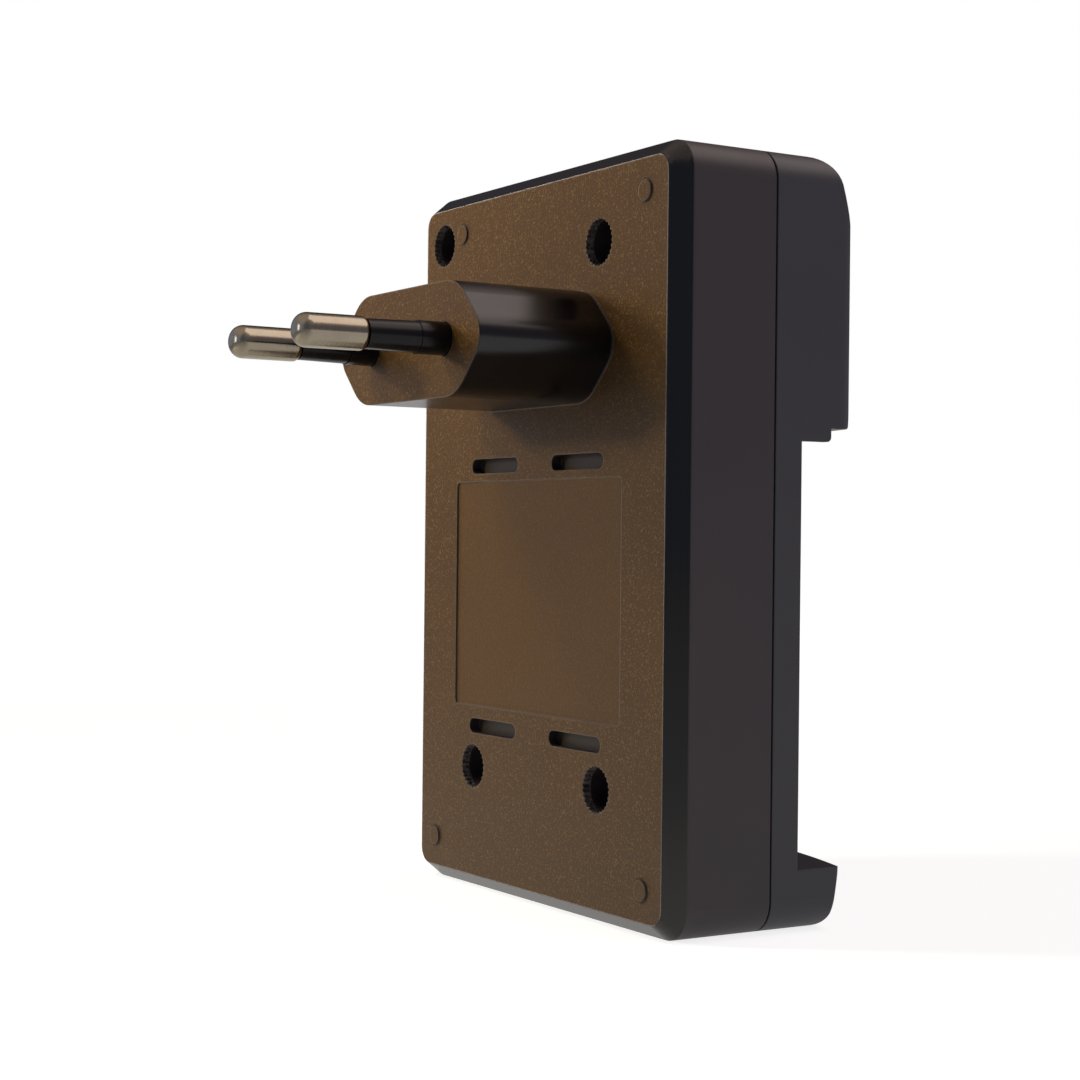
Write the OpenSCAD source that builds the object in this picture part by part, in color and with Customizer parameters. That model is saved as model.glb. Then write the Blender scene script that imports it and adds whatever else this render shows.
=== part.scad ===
// Wall charger for four AA cells: a plug-in case with an open battery bay.
// The case stands upright on its base. The bay and the head face -Y, the mains
// plug points along +Y, and X runs across the case. Inside the modules y is
// counted from the flat back face, and at_back() moves each piece into place.

/* [Case] */
// Width of the case
body_w = 60.6; // [60:0.1:66]
// Height of the case
body_h = 91.7; // [89:0.1:96]
// Radius of the four upright corners of the outline, seen from behind
corner_r = 4; // [3.4:0.1:6]
// Distance from the back face to the joint between the two shells
seam_depth = 14; // [13.4:0.1:15]
// Thickness of the side walls
wall = 2; // [1.6:0.1:2.2]
// Thickness of the back wall
back_wall = 2.4; // [2:0.1:2.6]
// How far the bevel of the back edge reaches in across the back face
bevel_in = 1.85; // [1:0.05:2.2]
// How far the bevel of the back edge reaches along the side
bevel_deep = 2.3; // [1:0.05:2.3]
// Width of the shadow line at the joint of the shells
seam_gap = 0.25; // [0.1:0.05:0.5]
// Depth of the shadow line at the joint of the shells
seam_inset = 0.3; // [0.1:0.05:0.6]
// Height of the tongue that locks the shells together
tongue_h = 1.4; // [0.8:0.1:2]
// Thickness of that tongue
tongue_t = 0.8; // [0.6:0.1:0.9]

/* [Head and lip] */
// Distance from the back face to the middle of the head's front
head_depth = 30.7; // [30:0.1:34]
// How much the fronts of head and lip bow out between their sides
front_bow = 4.8; // [2:0.1:6]
// Height of the underside of the head
head_z = 59.2; // [58.8:0.1:61]
// Height of the band at the head's top that slopes back
head_slope_h = 9.2; // [8:0.1:12]
// How far that band would lean back up to the top
head_slope_in = 3; // [1:0.1:4]
// Radius of the head's upper front edge
head_top_r = 5; // [3:0.1:7]
// Height of the band above the head's underside that tucks in
head_tuck_h = 3.2; // [2:0.1:5]
// How far that band tucks in
head_tuck_in = 0.55; // [0.1:0.05:1]
// Radius of the head's upright front edges
head_edge_r = 3; // [2.2:0.1:4]
// Distance from the back face to the middle of the lip's front
lip_depth = 29.1; // [28.4:0.1:31]
// Height of the lip
lip_z = 7.4; // [7:0.1:8]
// How far the lip's front leans in towards the base
lip_lean = 1.2; // [0:0.1:2]
// Radius of the lip's lower front edge
lip_edge_r = 2.6; // [1:0.1:3]

/* [Battery bay] */
// Diameter of a cell
cell_d = 14.5; // [14:0.1:14.5]
// Width of the land beside the outer channels
bay_land = 0.9; // [0.6:0.05:0.9]
// Clearance round a cell in its channel
cell_gap = 0.15; // [0.1:0.05:0.25]
// Distance from the back face to the bay's side edge
floor_depth = 18.1; // [17.6:0.1:18.6]
// Depth of a channel below the side edge
channel_deep = 4.35; // [3.6:0.05:4.5]
// Thickness of the bay's floor
floor_t = 1.6; // [1.2:0.1:1.8]
// Height of the guards under the head, which keep a reversed cell off its contact
guard_h = 1.6; // [1:0.1:2]
// Width of a guard beside a cell
guard_w = 2.3; // [1.6:0.1:2.6]
// Length of a guard from back to front
guard_l = 4.4; // [3:0.1:6]

/* [Plug] */
// Height of the plug's axis above the base
plug_z = 69; // [66:0.5:72]
// Length of the plug's body
plug_l = 18.15; // [16:0.05:20]
// Width of the plug's body
plug_w = 35; // [34.6:0.1:36]
// Height of the plug's body
plug_h = 13.6; // [13.4:0.1:14.2]
// Radius of the plug's two side edges
plug_side_r = 3.4; // [2:0.1:4]
// Radius of the plug's four long edges
plug_long_r = 6; // [2:0.1:7]
// Thickness of the plug's end wall
plug_end = 3.4; // [2.6:0.1:4]
// Diameter of the metal pins
pin_d = 4; // [3.94:0.02:4.06]
// Length of a pin beyond the plug's end
pin_l = 19; // [18.5:0.1:19.5]
// Distance between the pins at the plug's end
pin_space_base = 18.5; // [18:0.1:19]
// Distance between the pins at their tips
pin_space_tip = 17.6; // [17:0.1:18]
// Radius of a pin's tip
pin_tip_r = 1.6; // [0.8:0.1:1.8]
// Radius of the shoulder where the bare metal meets the sleeve
pin_shoulder_r = 0.7; // [0.3:0.1:1]
// Length of the insulating sleeves
sleeve_l = 10.2; // [9.5:0.1:11]
// Diameter of a sleeve at its outer end
sleeve_d = 3.5; // [3.3:0.05:3.8]
// Diameter of the collar at the sleeve's foot
collar_d = 3.95; // [3.8:0.05:4.2]
// Length of that collar
collar_l = 3.7; // [2:0.1:5]
// Diameter of the metal core inside the sleeve
core_d = 2.6; // [2:0.1:2.8]

/* [Back face] */
// Diameter of the screw wells
well_d = 5.4; // [5:0.1:5.8]
// Depth of the screw wells
well_deep = 9.4; // [8:0.1:9.6]
// Number of teeth round the mouth of a screw well
well_teeth = 26; // [16:1:32]
// Depth of those teeth along the well
well_tooth_deep = 1; // [0.4:0.1:1.6]
// Length of the long slots
slot_l = 11.6; // [8:0.1:12.4]
// Width of the long slots
slot_w = 1.9; // [1.2:0.1:2.4]
// Depth of the long slots
slot_deep = 1.45; // [0.8:0.05:1.5]
// Distance of a slot's middle from the middle of the case
slot_x = 9.8; // [8:0.1:12]
// Height of the upper slots
slot_high_z = 55.2; // [54:0.1:58]
// Height of the lower slots
slot_low_z = 21.4; // [18:0.1:24]
// Width of the sunk panel
panel_w = 39.1; // [30:0.1:42]
// Lower edge of the sunk panel
panel_z0 = 24; // [23:0.1:30]
// Upper edge of the sunk panel
panel_z1 = 53.2; // [46:0.1:54]
// Depth of the sunk panel
panel_deep = 0.25; // [0.1:0.05:0.6]
// Diameter of the four raised discs
disc_d = 2.5; // [1.5:0.1:3]
// Height of the raised discs
disc_h = 0.25; // [0.1:0.05:0.5]
// Length of the fine groove in the base
base_slot_l = 14.4; // [8:0.1:20]
// Width of that groove
base_slot_w = 0.6; // [0.4:0.05:1]

/* [Screws] */
// Diameter of a case screw's head
screw_head_d = 4.6; // [4:0.1:4.8]
// Height of a case screw's head
screw_head_h = 1.8; // [1.2:0.1:2.2]
// Diameter of a case screw's shank
screw_d = 2.4; // [2:0.1:2.6]
// Length of a case screw's shank
screw_l = 6; // [5:0.25:6.5]

/* [Circuit] */
// Distance from the side of the case to the circuit board
board_side = 4; // [3.8:0.1:4.8]
// Distance from the head's underside up to the circuit board
board_low = 2.4; // [2.3:0.1:2.8]
// Distance from the circuit board up to the top of the case
board_top = 3.3; // [2.9:0.1:3.7]
// Thickness of the circuit board
board_t = 1.6; // [1:0.1:1.6]
// Distance from the back face to the rear of the circuit board
board_depth = 4.8; // [4.4:0.1:5]
// Diameter of the big electrolytic capacitor
bulk_d = 8; // [6:0.5:8]
// Length of the big electrolytic capacitor
bulk_l = 13; // [10:0.5:14]
// Width of the transformer's core
core_w = 16; // [15:0.5:16.5]
// Height of the transformer's core
core_h = 13.8; // [13:0.2:14]
// Thickness of the transformer's core
core_t = 5; // [4:0.2:5.4]
// Diameter of the two indicator lamps
lamp_d = 3; // [2.6:0.1:3.4]
// Height of the indicator lamps above the base
lamp_z = 70; // [69:0.5:71]
// How far a lamp stands out of the head
lamp_out = 0.9; // [0.4:0.1:1.4]

/* [Contacts] */
// Thickness of the contact strips
strip_t = 0.4; // [0.3:0.05:0.5]
// Width of the contact strips
strip_w = 3; // [2:0.1:3.2]
// Width of a plus contact's face
plus_w = 6.4; // [4:0.1:7]
// Outer diameter of a minus spring's foot
spring_d = 5.2; // [4.4:0.1:5.4]
// Outer diameter of a minus spring's tip
spring_tip_d = 3.6; // [3:0.1:4]
// Thickness of the spring wire
wire_d = 0.6; // [0.4:0.05:0.7]
// Free length of a minus spring
spring_l = 7.4; // [6.8:0.1:8]
// Number of turns in a minus spring
spring_turns = 4.5; // [3.5:0.5:5.5]

/* [Hidden] */
$fn = 48;
// Clearance between pieces that are pushed together
fit = 0.05;
// Clearance between pieces that pass each other
pass = 0.25;
// Overlap that makes cuts run clean through
over = 1;
// Clearance of a sleeve moulded round its pin
pin_core_gap = 0.03;
// Smallest radius of a moulded edge
soft_r = 0.6;

half_w = body_w / 2;
cell_pitch = (body_w - 2 * bay_land) / 4;
reach = plug_l + pin_l;
back_y = (head_depth - reach) / 2;
bow_r = (half_w * half_w + front_bow * front_bow) / (2 * front_bow);
cell_xs = [for (i = [0:3]) (i - 1.5) * cell_pitch];
channel_r = cell_d / 2 + cell_gap;
cell_y = -floor_depth + channel_deep - channel_r;
hump_r = channel_r + floor_t;
hump_y = cell_y + hump_r;
// Floor under a case screw's head and wall round its well
well_floor = 1.6;
well_wall = 1.35;
well_tooth = 0.25;
boss_top = -(well_deep + well_floor + fit);
// The upper left well lies between the plug and the top of the case
mid_well_z = (plug_z + plug_h / 2 + body_h) / 2 - 2.55;
// Places of the screw wells and of the raised discs across the case and above the base
wells = [[half_w - 6.6, body_h - 6.6], [-half_w + 16.1, mid_well_z],
    [cell_pitch, 16.1], [-cell_pitch, 16.1]];
discs = [[half_w - 11.7, body_h - 5.7], [-half_w + 6.3, body_h - 5.7],
    [half_w - 5.7, 5.8], [-half_w + 5.9, 5.6]];
// Radii where the head's front bends into its sloping and its tucked band
slope_bend_r = 6;
tuck_bend_r = 3;
plug_tip_x = plug_w / 2 + plug_side_r * (sqrt(2) - 1);
pin_lean = atan((pin_space_base - pin_space_tip) / 2 / pin_l);
board_w = body_w - 2 * board_side;
board_z0 = head_z + board_low;
board_h = body_h - board_top - board_z0;
board_front = -board_depth - board_t;
// Size of the board for which the places of its parts are given, and the parts' size beside it
layout_w = 52.6;
layout_h = 26.8;
part_scale = min(board_w / layout_w, board_h / layout_h);
// How far a pin's core reaches past the inside of the back wall
core_tail = back_wall + 0.3;
// How deep a sleeve's foot sits in the plug's end wall
sleeve_bed = 1.6;
pin_sides = [-1, 1];
boss_wall = 1.6;
post_d = 3;
post_in = 2.4;
post_x = board_w / 2 - post_in;
high_post_x = 13.5;
base_slot_x = -11.3;
base_slot_y = -bevel_deep - soft_r / 2;
screw_slot_w = 0.6;
screw_slot_l = 2.6;
screw_slot_deep = 1;
lamp_x = cell_pitch;
lamp_flange_d = lamp_d + 0.9;
lamp_flange_t = 1;
lamp_leg_x = 1.27;
lamp_leg_t = 0.5;
lamp_seat_y = head_face(lamp_x + lamp_flange_d / 2, wall) + fit;
spring_seat_z = wall + strip_t;
// Each cell's two leads pass the cell's axis on either side
lead_x = 2;
plus_tab_y = -floor_depth - 1.2;
plus_lead_z = head_z + wall + 1;
minus_lead_z = plus_lead_z + 1.9;
dimple_d = 3.4;
dimple_h = 0.35;
strip_y = hump_y + fit;

// Transformer: leg, window and yoke of the core, and how far its middle stands off the board
core_leg = 4.2;
core_window = 4;
core_yoke = 2;
core_lift = 7.5;
bobbin_gap = 0.1;
bobbin_t = 0.8;
bobbin_side = 6.3;
bobbin_leg = 2;
transformer_at = [2, 15.4];
// Length of the leads beyond the body of an axial part, and the thickness of most leads
lead_out = 1.1;
lead_d = 0.6;
chip_pitch = 1.27;

// Sides of the wire and steps in one turn of a minus spring
wire_sides = 6;
steps_per_turn = 14;

// Distance of the head's front from the back face, at x across the case
function head_face(x, inset) = bow_r - head_depth - sqrt(pow(bow_r - inset, 2) - x * x);
function unit(v) = v / norm(v);
// Angle at corner i of a convex outline
function corner_angle(p, i) =
    let (n = len(p), a = unit(p[(i + n - 1) % n] - p[i]), b = unit(p[(i + 1) % n] - p[i]))
    acos(a * b);
// Points where the rounding of corner i starts and ends
function corner_ends(p, r, i) =
    let (n = len(p), t = r[i] / tan(corner_angle(p, i) / 2))
    [for (q = [p[(i + n - 1) % n], p[(i + 1) % n]]) p[i] + unit(q - p[i]) * t];
// Centre of the rounding of corner i
function corner_mid(p, r, i) =
    let (n = len(p), a = unit(p[(i + n - 1) % n] - p[i]), b = unit(p[(i + 1) % n] - p[i]))
    p[i] + unit(a + b) * r[i] / sin(corner_angle(p, i) / 2);

// Convex outline whose corners are true arcs; a radius of 0 leaves a corner sharp
module soft_polygon(p, r) {
    polygon([for (i = [0:len(p) - 1]) each (r[i] > 0 ? corner_ends(p, r, i) : [p[i]])]);
    for (i = [0:len(p) - 1])
        if (r[i] > 0) translate(corner_mid(p, r, i)) circle(r = r[i]);
}

module soft_box(x0, x1, z0, z1, r) {
    soft_polygon([[x0, z0], [x1, z0], [x1, z1], [x0, z1]], [r, r, r, r]);
}

// Moves a piece from the back face's frame to the part's own frame
module at_back() { translate([0, back_y, 0]) children(); }

// Plate with an outline in X and Z, between two distances from the back face
module plate(y0, y1) {
    translate([0, max(y0, y1), 0]) rotate([90, 0, 0]) linear_extrude(abs(y1 - y0)) children();
}

// Round rod along Y
module rod(x, z, y0, y1, d, d_end = 0) {
    translate([x, y0, z]) rotate([-90, 0, 0])
        cylinder(h = y1 - y0, d1 = d, d2 = d_end > 0 ? d_end : d);
}

module box(x0, x1, y0, y1, z0, z1) {
    translate([x0, y0, z0]) cube([x1 - x0, y1 - y0, z1 - z0]);
}

module case_outline(inset) {
    soft_box(-half_w + inset, half_w - inset, inset, body_h - inset, max(corner_r - inset, soft_r));
}

module ring_outline(inset_out, inset_in) {
    difference() {
        case_outline(inset_out);
        case_outline(inset_in);
    }
}

// Bevelled plate that closes the back of the case
module bevelled_back() {
    flat = half_w - bevel_in;
    translate([0, 0, corner_r]) linear_extrude(body_h - 2 * corner_r)
        polygon([[-half_w, -bevel_deep], [half_w, -bevel_deep], [flat, 0], [-flat, 0]]);
    translate([-half_w + corner_r, 0, 0]) rotate([90, 0, 90])
        linear_extrude(body_w - 2 * corner_r)
        polygon([[-bevel_deep, 0], [0, bevel_in], [0, body_h - bevel_in], [-bevel_deep, body_h]]);
    for (x = [-1, 1], z = [corner_r, body_h - corner_r])
        rod(x * (half_w - corner_r), z, -bevel_deep, 0, 2 * corner_r, 2 * (corner_r - bevel_in));
}

module plug_outline(inset) {
    side = plug_tip_x - inset * sqrt(2);
    half_h = plug_h / 2 - inset;
    flat = side - half_h;
    translate([0, plug_z]) soft_polygon(
        [[side, 0], [flat, half_h], [-flat, half_h], [-side, 0], [-flat, -half_h], [flat, -half_h]],
        [for (r = [plug_side_r, plug_long_r, plug_long_r, plug_side_r, plug_long_r, plug_long_r])
            max(r - inset, soft_r)]);
}

// A pin's own frame: its axis leans in towards the tip
module on_pin(side) {
    translate([side * pin_space_base / 2, plug_l, plug_z])
        rotate([0, 0, side * pin_lean]) rotate([-90, 0, 0]) children();
}

module slot_outline(x, z, grow = 0) {
    half = slot_l / 2 - slot_w / 2;
    translate([x, z]) {
        square([2 * half, slot_w + 2 * grow], center = true);
        for (s = [-1, 1]) translate([s * half, 0]) circle(d = slot_w + 2 * grow);
    }
}

// Toothed outline of a screw well's mouth
module mouth_outline() {
    polygon([for (i = [0:2 * well_teeth - 1])
        let (a = 180 * i / well_teeth, r = well_d / 2 + (i % 2 == 0 ? -fit : well_tooth))
            [r * cos(a), r * sin(a)]]);
}

module rear_shell() color([0.16, 0.13, 0.10]) at_back() {
    difference() {
        union() {
            difference() {
                union() {
                    plate(-seam_depth, -bevel_deep) case_outline(0);
                    bevelled_back();
                    plate(-bevel_deep, plug_l) plug_outline(0);
                }
                plate(-seam_depth - over, -back_wall) case_outline(wall);
                plate(-back_wall - over, plug_l - plug_end) plug_outline(wall);
            }
            for (w = wells)
                rod(w[0], w[1], -well_deep - well_floor, -back_wall + fit, well_d + 2 * well_wall);
            for (d = discs) rod(d[0], d[1], -bevel_deep, disc_h, disc_d);
            board_posts();
            for (s = pin_sides) on_pin(s)
                translate([0, 0, -plug_end - sleeve_bed])
                    cylinder(h = 2 * sleeve_bed, d = core_d + 2 * boss_wall);
        }
        plate(-seam_depth - over, -seam_depth + tongue_h + fit) case_outline(wall - tongue_t - fit);
        for (w = wells) {
            rod(w[0], w[1], -well_deep, over, well_d);
            plate(-well_tooth_deep, over) translate(w) mouth_outline();
            rod(w[0], w[1], -well_deep - well_floor - over, -well_deep + over, screw_d + 2 * pass);
        }
        for (s = [-1, 1], z = [slot_low_z, slot_high_z])
            plate(-slot_deep, over) slot_outline(s * slot_x, z);
        plate(-panel_deep, over) soft_box(-panel_w / 2, panel_w / 2, panel_z0, panel_z1, soft_r);
        for (s = pin_sides) on_pin(s) {
            translate([0, 0, -sleeve_bed]) cylinder(h = sleeve_bed + over, d = collar_d + 2 * fit);
            translate([0, 0, -plug_end - sleeve_bed - over])
                cylinder(h = plug_end + sleeve_bed + over, d = core_d + 2 * fit);
        }
        box(base_slot_x - base_slot_l / 2, base_slot_x + base_slot_l / 2,
            base_slot_y - base_slot_w, base_slot_y, -over, base_slot_w);
    }
}

// Posts that carry the circuit board at its corners
module board_posts() {
    for (p = [[-post_x, board_z0 + post_in], [post_x, board_z0 + post_in],
              [-post_x, board_z0 + board_h - post_in],
              [high_post_x, board_z0 + board_h - post_in]])
        rod(p[0], p[1], -board_depth, -back_wall + fit, post_d);
}

// Space between the upright front edges, which are rounded
module edge_space(depth, r, inset, z0, z1) {
    axis_y = bow_r - depth;
    mid_x = half_w - inset - r;
    mid_y = axis_y - sqrt(pow(bow_r - inset - r, 2) - mid_x * mid_x);
    touch_x = mid_x * (bow_r - inset) / (bow_r - inset - r);
    translate([0, 0, z0]) linear_extrude(z1 - z0) {
        translate([-half_w + inset, mid_y]) square([body_w - 2 * inset, -mid_y]);
        translate([-touch_x, -depth - over]) square([2 * touch_x, depth + over]);
        for (s = [-1, 1]) translate([s * mid_x, mid_y]) circle(r = r);
    }
}

module head_form(inset) {
    intersection() {
        plate(-seam_depth + (inset > 0 ? over : 0), -head_depth - over) case_outline(inset);
        head_space(inset);
        edge_space(head_depth, max(head_edge_r - inset, soft_r), inset, -over, body_h + over);
    }
}

// Space inside the head's bow, which tucks in at its foot and slopes back to its top
module head_space(inset) {
    r = bow_r - inset;
    slope_z = body_h - head_slope_h;
    slope = head_slope_in / head_slope_h;
    outer = inset == 0;
    translate([0, bow_r - head_depth, 0]) rotate_extrude($fn = 180) soft_polygon(
        [[0, head_z + inset], [r - head_tuck_in, head_z + inset], [r, head_z + head_tuck_h],
         [r, slope_z], [r - slope * (head_slope_h - inset), body_h - inset], [0, body_h - inset]],
        [0, outer ? soft_r : 0, outer ? tuck_bend_r : 0, outer ? slope_bend_r : 0,
         head_top_r - inset, 0]);
}

module lip_form() {
    intersection() {
        plate(-seam_depth, -lip_depth - over) case_outline(0);
        translate([0, bow_r - lip_depth, 0]) rotate_extrude($fn = 180) soft_polygon(
            [[0, -fit], [bow_r - lip_lean, -fit], [bow_r, lip_z], [0, lip_z]],
            [0, lip_edge_r, 0, 0]);
        edge_space(lip_depth, soft_r, 0, -over, lip_z + over);
    }
}

// Hollow inside the lip, which opens into the hollow behind the bay's floor
module lip_hollow() {
    intersection() {
        plate(-seam_depth + over, -lip_depth) case_outline(wall);
        translate([0, bow_r - lip_depth, 0])
            cylinder(h = lip_z - wall, r = bow_r - wall - lip_lean, $fn = 180);
    }
}

module front_shell() color([0.12, 0.13, 0.15]) at_back() {
    difference() {
        union() {
            difference() {
                union() {
                    plate(-seam_depth, -floor_depth) case_outline(0);
                    head_form(0);
                    lip_form();
                }
                plate(-seam_depth + over, -seam_depth - seam_gap) difference() {
                    square(4 * body_h, center = true);
                    case_outline(seam_inset);
                }
                plate(-seam_depth + over, -floor_depth + floor_t) case_outline(wall);
                head_form(wall);
                lip_hollow();
            }
            plate(-seam_depth - wall, -seam_depth + tongue_h) ring_outline(wall - tongue_t, wall);
            floor_humps();
            for (w = wells) boss(w[0], w[1]);
            guards();
        }
        for (x = cell_xs) {
            translate([x, cell_y, lip_z]) cylinder(h = head_z - lip_z, r = channel_r);
            translate([x, cell_y, wall]) cylinder(h = lip_z, d = spring_d + 2 * pass);
            translate([x + lead_x, 0, 0])
                box(-strip_w / 2 - pass, strip_w / 2 + pass,
                    plus_tab_y - pass, plus_tab_y + strip_t + pass, head_z - over, head_z + wall + over);
        }
        for (w = wells)
            rod(w[0], w[1], -well_deep - screw_l - pass, boss_top + over, screw_d + 2 * fit);
        for (s = [-1, 1]) rod(s * lamp_x, lamp_z, -head_depth - over, lamp_seat_y, lamp_d + 2 * fit);
    }
}

// Humps on the inside of the bay's floor, which hold the channels' curved walls
module floor_humps() {
    intersection() {
        for (x = cell_xs) translate([x, cell_y, lip_z - wall])
            cylinder(h = head_z - lip_z + 2 * wall, r = hump_r);
        box(-half_w + wall / 2, half_w - wall / 2, -floor_depth, 0, 0, body_h);
    }
}

// Screw boss from the inside of the head or the floor up to the foot of its well
module boss(x, z) {
    if (z > head_z) intersection() {
        rod(x, z, -head_depth, boss_top, screw_d + 2 * boss_wall);
        head_form(wall / 2);
    }
    else rod(x, z, -floor_depth + floor_t / 2, boss_top, screw_d + 2 * boss_wall);
}

// Guards beside and between the plus contacts
module guards() {
    mid_w = 2 * (guard_w - (half_w - cell_xs[3] - cell_pitch / 2));
    for (s = [-1, 1])
        guard(s > 0 ? half_w - guard_w : -half_w, s > 0 ? half_w : -half_w + guard_w);
    for (i = [0:2]) {
        x = (cell_xs[i] + cell_xs[i + 1]) / 2;
        guard(x - mid_w / 2, x + mid_w / 2);
    }
}

module guard(x0, x1) {
    translate([x0, 0, 0]) rotate([90, 0, 90]) linear_extrude(x1 - x0)
        soft_polygon(
            [[-floor_depth - guard_l, head_z - guard_h], [-floor_depth + fit, head_z - guard_h],
             [-floor_depth + fit, head_z + wall / 2], [-floor_depth - guard_l, head_z + wall / 2]],
            [soft_r, 0, 0, 0]);
}

module case_screws() color([0.62, 0.62, 0.60]) at_back() {
    for (w = wells) difference() {
        union() {
            rod(w[0], w[1], -well_deep, -well_deep + screw_head_h, screw_head_d);
            rod(w[0], w[1], -well_deep - screw_l + fit, -well_deep + fit, screw_d);
        }
        for (a = [0, 90]) translate([w[0], -well_deep + screw_head_h, w[1]]) rotate([0, a, 0])
            cube([screw_slot_l, 2 * screw_slot_deep, screw_slot_w], center = true);
    }
}

// Metal pin: bare end, core inside the sleeve, and tail through the plug's end wall
module pin(side) color([0.78, 0.77, 0.72]) at_back() on_pin(side) {
    rotate_extrude() {
        square([pin_d / 2 - pin_tip_r, pin_l]);
        translate([0, sleeve_l + pin_shoulder_r])
            square([pin_d / 2, pin_l - sleeve_l - pin_shoulder_r - pin_tip_r]);
        square([pin_d / 2 - pin_shoulder_r, pin_l - pin_tip_r]);
        intersection() {
            square([pin_d, 2 * pin_l]);
            translate([pin_d / 2 - pin_tip_r, pin_l - pin_tip_r]) circle(r = pin_tip_r);
        }
        translate([pin_d / 2 - pin_shoulder_r, sleeve_l + pin_shoulder_r]) circle(r = pin_shoulder_r);
    }
    translate([0, 0, -plug_l - core_tail]) cylinder(h = plug_l + core_tail, d = core_d);
}
module pin_left() pin(-1);
module pin_right() pin(1);

module sleeve(side) color([0.05, 0.05, 0.05]) at_back() on_pin(side) difference() {
    union() {
        translate([0, 0, -sleeve_bed]) cylinder(h = sleeve_bed + collar_l, d = collar_d);
        translate([0, 0, collar_l]) cylinder(h = sleeve_l - collar_l, d1 = collar_d - 0.2, d2 = sleeve_d);
    }
    translate([0, 0, -sleeve_bed - over])
        cylinder(h = sleeve_l + sleeve_bed + 2 * over, d = core_d + 2 * pin_core_gap);
}
module sleeve_left() sleeve(-1);
module sleeve_right() sleeve(1);

// Bent strip that joins a pin's tail to the rear of the circuit board
module mains_spring(side) color([0.80, 0.62, 0.32]) at_back() {
    x = side * (pin_space_base / 2 + (plug_l + core_tail) * tan(pin_lean));
    top = -core_tail - fit;
    low = -board_depth;
    translate([x - strip_w / 2, 0, 0]) rotate([90, 0, 90]) linear_extrude(strip_w) {
        translate([top - strip_t, plug_z - 2]) square([strip_t, 3.6]);
        translate([low, plug_z - 2]) square([top - low, strip_t]);
        translate([low, plug_z - 5]) square([strip_t, 3 + strip_t]);
    }
}
module mains_spring_left() mains_spring(-1);
module mains_spring_right() mains_spring(1);

module circuit_board() color([0.16, 0.38, 0.20]) at_back() difference() {
    plate(board_front, -board_depth) soft_box(-board_w / 2, board_w / 2, board_z0, board_z0 + board_h, 0.8);
    for (w = wells)
        rod(w[0], w[1], board_front - over, -board_depth + over, well_d + 2 * well_wall + 3 * pass);
}

// Frame at a place on the front of the circuit board: Z points away from the board.
// x counts from the board's middle and z from its lower edge, on a board of the layout's size
module on_board(x, z) {
    translate([x * board_w / layout_w, board_front, board_z0 + z * board_h / layout_h])
        rotate([90, 0, 0]) scale([part_scale, part_scale, part_scale]) children();
}

// Frame in the middle of the transformer
module on_transformer() {
    on_board(transformer_at[0], transformer_at[1]) translate([0, 0, core_lift]) children();
}

module transformer_core() color([0.20, 0.20, 0.21]) at_back() on_transformer()
    translate([0, 0, -core_t / 2]) linear_extrude(core_t) difference() {
        square([core_w, core_h], center = true);
        for (s = [-1, 1]) translate([s * (core_leg + core_window) / 2, 0])
            square([core_window, core_h - 2 * core_yoke], center = true);
    }

module transformer_bobbin() color([0.10, 0.10, 0.11]) at_back() on_transformer() {
    l = core_h - 2 * core_yoke - 2 * bobbin_gap;
    flange_w = core_leg + 2 * core_window - 2 * bobbin_gap;
    difference() {
        union() {
            bobbin_tube(bobbin_gap + bobbin_t, l);
            for (s = [-1, 1]) translate([0, s * (l - bobbin_t) / 2, 0])
                cube([flange_w, bobbin_t, 2 * bobbin_side], center = true);
        }
        bobbin_tube(bobbin_gap, l + over);
    }
    for (s = [-1, 1], x = [-flange_w / 2, flange_w / 2 - bobbin_leg])
        translate([x, s * (l - bobbin_t) / 2 - bobbin_t / 2, -core_lift])
            cube([bobbin_leg, bobbin_t, core_lift - bobbin_side + fit]);
}

// Block round the core's middle leg, larger than the leg by a margin on each side
module bobbin_tube(margin, l) {
    cube([core_leg + 2 * margin, l, core_t + 2 * margin], center = true);
}

module transformer_winding() color([0.86, 0.74, 0.22]) at_back() on_transformer() {
    l = core_h - 2 * core_yoke - 2 * bobbin_t - 4 * bobbin_gap;
    out_x = core_leg / 2 + core_window - 2 * bobbin_gap;
    out_z = bobbin_side - 0.4;
    difference() {
        rotate([90, 0, 0]) translate([0, 0, -l / 2]) linear_extrude(l)
            soft_box(-out_x, out_x, -out_z, out_z, 1.6);
        bobbin_tube(bobbin_t + 2 * bobbin_gap, l + over);
    }
}

// Round can with a crimped groove near its foot and a sunk top
module can(d, l) {
    difference() {
        cylinder(h = l, d = d);
        translate([0, 0, 1.6]) difference() {
            cylinder(h = 0.7, d = d + over);
            cylinder(h = 0.7, d = d - 0.7);
        }
        translate([0, 0, l - 0.3]) cylinder(h = over, d = d - 1.4);
    }
}

module bulk_capacitor() color([0.10, 0.12, 0.20]) at_back() on_board(-22, 8.7) can(bulk_d, bulk_l);
module output_capacitor() color([0.08, 0.20, 0.16]) at_back() on_board(21, 10.7) can(8, 11.5);

// Body of an axial part with its two leads bent down to the board
module axial(d, l, lift) {
    translate([0, 0, lift]) rotate([0, 90, 0]) {
        cylinder(h = l, d = d, center = true);
        cylinder(h = l + 2 * lead_out, d = lead_d, center = true);
    }
    for (s = [-1, 1])
        translate([s * (l / 2 + lead_out - lead_d / 2), 0, 0]) cylinder(h = lift, d = lead_d);
}

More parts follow.
